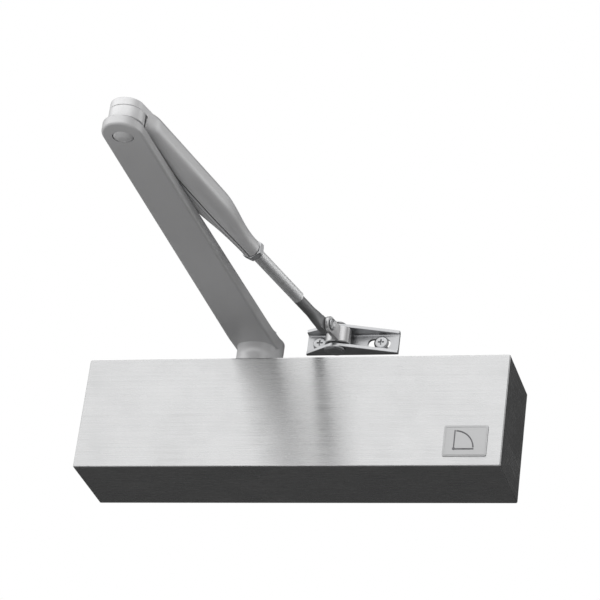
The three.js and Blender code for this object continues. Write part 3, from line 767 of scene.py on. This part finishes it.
def make_rod():
    """A rolled thread, then a plain forged shank that flattens into an eye for the rivet."""
    rings = []
    steps, sides = round((THREAD_LAST - THREAD_FIRST) * 6), 28
    for k in range(steps + 1):
        x = mix(THREAD_FIRST, THREAD_LAST, k / steps)
        starts = smooth(x, THREAD_FIRST, THREAD_FIRST + 2)
        fade = starts * (1 - smooth(x, THREAD_LAST - 2, THREAD_LAST))
        ring = []
        for i in range(sides):
            turn = 2 * math.pi * i / sides
            phase = (x / THREAD_PITCH - i / sides) % 1
            groove = THREAD_DEPTH * (1 - abs(2 * phase - 1)) * fade
            radius = ROD_RADIUS - groove
            ring.append((x, radius * math.cos(turn), radius * math.sin(turn)))
        rings.append(ring)
    rod = loft("rod_threaded", rings, FOREARM)
    middle, half_width = sum(BLADE_Y) / 2, (BLADE_Y[1] - BLADE_Y[0]) / 2
    rings = []
    for k in range(25):
        x = mix(THREAD_LAST - 1, BLADE_START, k / 24)
        t = smooth(k / 24, 0.6, 1)
        power = 2 / mix(2, 5, t)
        offset = mix(0.6, middle, t)
        ring = []
        for i in range(40):
            turn = 2 * math.pi * (i + 0.5) / 40
            c, n = math.cos(turn), math.sin(turn)
            y = math.copysign(abs(c) ** power, c) * mix(FORGED_RADIUS, half_width, t)
            height = mix(FORGED_RADIUS, BLADE_TOP if n > 0 else BLADE_HALF, t)
            z = math.copysign(abs(n) ** power, n) * height
            ring.append((x, y + offset, z))
        rings.append(ring)
    shank = loft("shank", rings, FOREARM)
    rivet = at("y", (RIVET_X, 0, 0), FOREARM)
    top_turn = math.pi - math.asin(BLADE_TOP / BLADE_HALF)
    eye = plate(
        "eye",
        [Vector((BLADE_START - 1.5, -BLADE_HALF))]
        + arc((RIVET_X, 0), BLADE_HALF, -math.pi / 2, top_turn, 36)
        + [Vector((BLADE_START - 1.5, BLADE_TOP))],
        (-BLADE_Y[1], -BLADE_Y[0]),
        at("y", (0, 0, 0), FOREARM),
        (0.8, 0.5),
        steps=4,
    )
    rod.data.materials.append(THREAD)
    shank.data.materials.append(FORGED)
    eye.data.materials.append(FORGED)
    fuse(rod, shank, eye)
    return cut(rod, bar("rivet_hole", RIVET_HOLE, (-6, 6), rivet, 0.01))


NUT_FLATS = 11
NUT_X = (145, 149.2)


def hexagon(flats, turn):
    return arc((0, 0), flats / math.sqrt(3), turn, turn + math.pi * 5 / 3, 5)


def hex_head(name, flats, span, place, turn=0, both=True):
    """A hexagon whose corners are turned off at 30 degrees."""
    reach = flats / math.sqrt(3)
    drop = (reach - flats / 2 * 0.96) * math.tan(math.pi / 6)
    flat = flats / 2 * 0.96
    first = [(0, span[0]), (reach + 0.2, span[0])]
    if both:
        first = [(0, span[0]), (flat, span[0]), (reach + 0.2, span[0] + drop)]
    envelope = first + [(reach + 0.2, span[1] - drop), (flat, span[1]), (0, span[1])]
    head = plate(name, hexagon(flats, turn), span, place, (0.02, 0.02), steps=1)
    return combine(head, "INTERSECT", lathe("envelope", envelope, place, 72))


def make_lock_nut():
    place = at("x", (0, 0, 0), FOREARM)
    nut = hex_head("lock_nut_hex", NUT_FLATS, NUT_X, place, math.pi / 6)
    bore, mouth = ROD_RADIUS + 0.12, ROD_RADIUS + 0.7
    profile = [
        (0, NUT_X[0] - 1),
        (mouth, NUT_X[0] - 1),
        (mouth, NUT_X[0]),
        (bore, NUT_X[0] + 0.6),
        (bore, NUT_X[1] - 0.6),
        (mouth, NUT_X[1]),
        (mouth, NUT_X[1] + 1),
        (0, NUT_X[1] + 1),
    ]
    return cut(nut, lathe("bore", profile, place, 96))


# ---------------------------------------------------------------- knuckle, pin and shoe bracket

KNUCKLE_HALF = 5.0
BARREL = 6.3
BULGE, BULGE_Y = 5.2, -3.9
LUG_Y = (-4.6, -2.3)
PIN_HOLE = 3.0


def make_knuckle():
    """A barrel round the shoe's pin, with a lug at one side for the rod's rivet."""
    half = KNUCKLE_HALF
    pin = at("z", (REACH, 0, 0), FOREARM)
    barrel = bar("knuckle_forged", BARREL, (-half, half), pin, 0.5, 72)
    lug = plate(
        "lug",
        stadium((RIVET_X, REACH - 1), 0, half),
        (-LUG_Y[1], -LUG_Y[0]),
        at("y", (0, 0, 0), FOREARM),
        (0.3, 0.5),
        steps=4,
    )
    side = at("z", (REACH - 0.2, BULGE_Y, 0), FOREARM)
    bulge = bar("bulge", BULGE, (-half, half), side, 0.5, 72)
    corners = (REACH - BULGE, BULGE_Y, 0.2 - half), (REACH + BULGE, 0, half - 0.2)
    web = block("web", *corners, 0.02, FOREARM)
    fuse(barrel, bulge, web, lug)
    return cut(
        barrel,
        bar("pin_hole", PIN_HOLE, (-9, 9), pin, 0.01),
        bar("rivet_hole", RIVET_HOLE, (-2, 9), at("y", (RIVET_X, 0, 0), FOREARM), 0.01),
    )


def make_knuckle_rivet():
    left, right = -BLADE_Y[1] - 0.3, -LUG_Y[0] + 0.3
    profile = [
        (0, left - 2.2),
        (2.6, left - 1.9),
        (3.4, left - 0.1),
        (2.2, left),
        (2.2, right),
        (3.5, right),
        (3.4, right + 0.7),
        (2.4, right + 1.2),
        (1.5, right + 0.8),
        (0, right + 0.6),
    ]
    radii = [0, 1.6, 0.3, 0.1, 0.1, 0.2, 0.4, 0.5, 0.4, 0]
    place = at("y", (RIVET_X, 0, 0), FOREARM)
    return lathe("knuckle_rivet_set", rounded(profile, radii, 4, False), place, 56)


SHOE_SHEET = 2.0
SHOE_BEND = 1.0
SHOE_BACK = 11.4
# The nose is an arc round the pin between these angles to its left and right.
NOSE_RADIUS = 5.0
NOSE_TURNS = (math.pi * 0.29, math.pi * 0.41)
TAPER_END = 3.1
UPPER_LEFT = 5.6
SHOE_SCREW_Z = 62.2
HOLE_X, SLOT_X = 2.0, (34.2, 41.8)


def nose_line(x, left, right, start):
    """How far the flange's edge stands out from the bracket's back at x."""
    pin_x, pin_out = SHOE_PIN.x, -SHOE_PIN.y - SHOE_BACK
    left_turn, right_turn = NOSE_TURNS
    reach, top = NOSE_RADIUS * math.sin(left_turn), NOSE_RADIUS * math.sin(right_turn)
    first = pin_x - NOSE_RADIUS * math.cos(left_turn)
    last = pin_x + NOSE_RADIUS * math.cos(right_turn)
    if x <= first:
        return mix(start, pin_out + reach, (x - left) / (first - left))
    if x <= last:
        return pin_out + math.sqrt(NOSE_RADIUS**2 - (x - pin_x) ** 2)
    return mix(pin_out + top, TAPER_END, (x - last) / (right - last))


def make_bracket():
    """Sheet folded into a channel, its flanges cut to a nose round the pin."""
    low, high = box("shoe_bracket")
    back = -high.y
    stations = [low.x + (high.x - low.x) * k / 60 for k in range(61)]
    rings = []
    t, r = SHOE_SHEET, SHOE_BEND
    for x in stations:
        lower = back + max(t + 0.6, nose_line(x, low.x, high.x, t + 0.6))
        upper = back + nose_line(x, low.x, high.x, UPPER_LEFT)
        corners = [
            (lower, low.z),
            (lower, low.z + t),
            (back + t, low.z + t),
            (back + t, high.z - t),
            (upper, high.z - t),
            (upper, high.z),
            (back, high.z),
            (back, low.z),
        ]
        radii = [0.3, 0.3, r * 0.6, r, 0.3, 0.3, r + t * 0.7, r]
        section = rounded(corners, radii, 5)
        rings.append([(x, -p.x, p.y) for p in section])
    bracket = loft("bracket_folded", rings)
    pin = at("z", (SHOE_PIN.x, SHOE_PIN.y, 0))
    slot = stadium(SLOT_X, SHOE_SCREW_Z, 3.2, 24)
    through = (back - 1, back + t + 1)
    return cut(
        bracket,
        bar("pin_hole", PIN_HOLE, (low.z - 1, high.z + 1), pin, 0.01),
        plate("slot", slot, through, at("y"), (0.01, 0.01)),
        bar("hole", 2.9, through, at("y", (HOLE_X, 0, SHOE_SCREW_Z)), 0.01),
    )


def make_shoe_pin():
    low, high = box("shoe_pin")
    profile = [
        (0, low.z),
        (4.4, low.z + 0.05),
        (6.2, low.z + 0.7),
        (6.2, 55.2),
        (2.7, 55.2),
        (2.7, high.z - 1.5),
        (5.6, high.z - 1.5),
        (5.4, high.z - 0.6),
        (3.5, high.z - 0.05),
        (0, high.z),
    ]
    radii = [0, 1.5, 0.7, 0.1, 0.1, 0.1, 0.2, 0.5, 1.2, 0]
    place = at("z", (SHOE_PIN.x, SHOE_PIN.y, 0))
    return lathe("shoe_pin_headed", rounded(profile, radii, 5, False), place, 72)


def make_pan_screw(name, node):
    """A pan head with a cross recess that tapers inwards."""
    low, high = box(node)
    x, front, tip = (low.x + high.x) / 2, -low.y, -high.y
    seat = front - 2.1
    profile = [
        (0, tip),
        (2.3, tip + 2),
        (2.3, seat),
        (4.4, seat),
        (4.4, seat + 0.9),
        (3.5, front - 0.25),
        (0, front),
    ]
    radii = [0, 0.2, 0.1, 0.15, 0.6, 1.3, 0]
    place = at("y", (x, 0, SHOE_SCREW_Z))
    screw = lathe(name, rounded(profile, radii, 5, False), place, 64)
    arm, width = 2.3, 0.55
    cross = []
    for long_x in (True, False):
        rings = []
        for depth, size in ((front + 0.5, 1.0), (front - 1.5, 0.45)):
            a, b = (arm * size, width * size) if long_x else (width * size, arm * size)
            rings.append([(-a, -b, depth), (a, -b, depth), (a, b, depth), (-a, b, depth)])
        cross.append(loft("cross", rings, place))
    return cut(screw, *cross)


# ---------------------------------------------------------------- hub screw and washer


def make_arm_screw():
    low, high = box("arm_screw")
    seat = high.z - 5.3
    place = at("z", (SPINDLE.x, SPINDLE.y, 0))
    head = hex_head("arm_screw_hex", 13, (seat, high.z), place, both=False)
    return fuse(head, bar("shank", 2.4, (low.z, seat + 1), place, 0.4))


def make_arm_washer():
    low, high = box("arm_washer")
    place = at("z", (SPINDLE.x, SPINDLE.y, 0))
    return sleeve("arm_washer_disc", (3.4, 9), (low.z, high.z), place, 0.25)


# ---------------------------------------------------------------- closing springs

CLOSED_TURNS = 1.6
SPRINGS = (("closing_spring_outer", 2.1, 7), ("closing_spring_inner", 1.3, 10))


def make_spring(node, wire, active_turns):
    """Round wire wound into a helix whose end turns touch."""
    low, high = box(node)
    radius = (high.z - low.z) / 2 - wire
    closed = CLOSED_TURNS * 2 * wire
    turns = active_turns + 2 * CLOSED_TURNS
    steps, sides = round(turns * 30), 12
    rings = []
    for k in range(steps + 1):
        t = turns * k / steps
        ends = min(t, turns - t)
        along = ends * 2 * wire
        if ends > CLOSED_TURNS:
            pitch = (high.x - low.x - 2 * wire - 2 * closed) / active_turns
            along = closed + (ends - CLOSED_TURNS) * pitch
        x = low.x + wire + along if t < turns / 2 else high.x - wire - along
        turn = 2 * math.pi * t
        ring = []
        for i in range(sides):
            a = 2 * math.pi * i / sides
            reach = radius + wire * math.cos(a)
            y, z = SPINDLE.y + reach * math.cos(turn), reach * math.sin(turn)
            ring.append((x + wire * math.sin(a), y, z))
        rings.append(ring)
    return loft(node + "_wound", rings)


for name, wire, active_turns in SPRINGS:
    spring = stands_for(make_spring(name, wire, active_turns), name)
    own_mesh(spring)

# ---------------------------------------------------------------- the pieces put in place

stands_for(make_cover(), "cover")
stands_for(make_label(), "label_plate")
stands_for(make_main_arm(), "main_arm")
stands_for(make_elbow_rivet(), "elbow_rivet", FINISHES["silver_paint"])
# The elbow disc and forearm get the lighter copy of the silver paint: painted light.
stands_for(make_elbow_spacer(), "elbow_spacer", FOREARM_PAINT_WITH_PAINTED_LIGHT)
stands_for(make_forearm(), "forearm", FOREARM_PAINT_WITH_PAINTED_LIGHT)
stands_for(make_rod(), "adjusting_rod")
stands_for(make_lock_nut(), "lock_nut")
stands_for(make_knuckle(), "knuckle", KNUCKLE_PAINT)
stands_for(make_knuckle_rivet(), "knuckle_rivet")
stands_for(make_bracket(), "shoe_bracket")
stands_for(make_shoe_pin(), "shoe_pin")
stands_for(make_pan_screw("shoe_screw_left_pan", "shoe_screw_left"), "shoe_screw_left")
stands_for(make_pan_screw("shoe_screw_right_pan", "shoe_screw_right"), "shoe_screw_right")
stands_for(make_arm_screw(), "arm_screw")
stands_for(make_arm_washer(), "arm_washer")

for name, node in frame["nodes"].items():
    if not node.hide_render:
        shade(node, FINISHES[SLOT_OF[name]])

# ---------------------------------------------------------------- floor, light and camera


def make_floor():
    """A plain pale floor well below the closer, seen by the camera but not lighting it."""
    bpy.ops.mesh.primitive_plane_add(size=60, location=(0, 0, -3))
    floor = bpy.context.object
    floor.name = "floor"
    material = bpy.data.materials.new("pale_floor")
    material.use_nodes = True
    shader = material.node_tree.nodes["Principled BSDF"]
    shader.inputs["Base Color"].default_value = (0.86, 0.86, 0.86, 1)
    shader.inputs["Roughness"].default_value = 0.9
    shader.inputs["Emission Color"].default_value = (1, 1, 1, 1)
    shader.inputs["Emission Strength"].default_value = 0.45
    floor.data.materials.append(material)
    floor.visible_glossy = False
    floor.visible_diffuse = False


# Each soft light in the studio's surroundings: its direction, the cosines at which it ends and
# is full, and its level.
AMBIENT = 0.07
SOFT_LIGHTS = [
    ((-0.30, -0.80, 0.50), (0.25, 0.80), 1.15),
    ((0.85, 0.45, 0.30), (0.88, 0.98), 1.1),
    ((0.88, -0.25, 0.30), (0.30, 0.95), 0.3),
    ((-0.95, 0.20, 0.25), (0.60, 0.95), 0.5),
    ((0.10, -0.25, 0.96), (0.70, 0.97), 0.42),
]
FILL = {
    "place": (-0.09, -0.46, -0.17),
    "towards": (-0.04, -0.25, 0.05),
    "size": 0.2,
    "watts": 0.62,
}


def make_world():
    world = bpy.data.worlds.new("studio")
    bpy.context.scene.world = world
    world.use_nodes = True
    tree = world.node_tree
    link = tree.links.new
    direction = tree.nodes.new("ShaderNodeTexCoord").outputs["Generated"]
    level = None
    for axis, (outer, inner), strength in SOFT_LIGHTS:
        facing = tree.nodes.new("ShaderNodeVectorMath")
        facing.operation = "DOT_PRODUCT"
        facing.inputs[1].default_value = Vector(axis).normalized()
        link(direction, facing.inputs[0])
        lobe = tree.nodes.new("ShaderNodeMapRange")
        lobe.interpolation_type = "SMOOTHSTEP"
        for index, value in enumerate((outer, inner, 0, strength), 1):
            lobe.inputs[index].default_value = value
        link(facing.outputs["Value"], lobe.inputs[0])
        total = tree.nodes.new("ShaderNodeMath")
        link(lobe.outputs[0], total.inputs[0])
        if level is None:
            total.inputs[1].default_value = AMBIENT
        else:
            link(level, total.inputs[1])
        level = total.outputs[0]
    studio = tree.nodes["Background"]
    link(level, studio.inputs["Color"])
    paper = tree.nodes.new("ShaderNodeBackground")
    paper.inputs["Color"].default_value = (1, 1, 1, 1)
    seen = tree.nodes.new("ShaderNodeMixShader")
    link(tree.nodes.new("ShaderNodeLightPath").outputs["Is Camera Ray"], seen.inputs[0])
    link(studio.outputs[0], seen.inputs[1])
    link(paper.outputs[0], seen.inputs[2])
    link(seen.outputs[0], tree.nodes["World Output"].inputs["Surface"])


def make_fill():
    """A soft light below the elbow, left out of reflections, which lifts the undersides."""
    data = bpy.data.lights.new("fill", "AREA")
    data.size = FILL["size"]
    data.energy = FILL["watts"]
    fill = bpy.data.objects.new("fill", data)
    bpy.context.scene.collection.objects.link(fill)
    place = Vector(FILL["place"])
    turn = (Vector(FILL["towards"]) - place).to_track_quat("-Z", "Y").to_matrix().to_4x4()
    fill.matrix_world = Matrix.Translation(place) @ turn
    fill.visible_glossy = False


def make_camera():
    """A long lens from below and to the right, held slightly rolled."""
    azimuth, elevation, roll = (math.radians(a) for a in (18.51, -27.45, 7.65))
    distance, lens = 1.6, 171.8
    target = Vector((20.0, -116.6, 36.2)) * MM
    back = Vector(
        (
            math.sin(azimuth) * math.cos(elevation),
            -math.cos(azimuth) * math.cos(elevation),
            math.sin(elevation),
        )
    )
    level = Vector((math.cos(azimuth), math.sin(azimuth), 0))
    above = back.cross(level)
    right = level * math.cos(roll) + above * math.sin(roll)
    up = above * math.cos(roll) - level * math.sin(roll)
    data = bpy.data.cameras.new("camera")
    data.lens = lens
    data.clip_start = 0.05
    data.clip_end = 100
    camera = bpy.data.objects.new("camera", data)
    bpy.context.scene.collection.objects.link(camera)
    turn = Matrix((right, up, back)).transposed().to_4x4()
    camera.matrix_world = Matrix.Translation(target + back * distance) @ turn
    bpy.context.scene.camera = camera


make_floor()
make_world()
make_fill()
make_camera()
bpy.context.scene.view_settings.view_transform = "Standard"
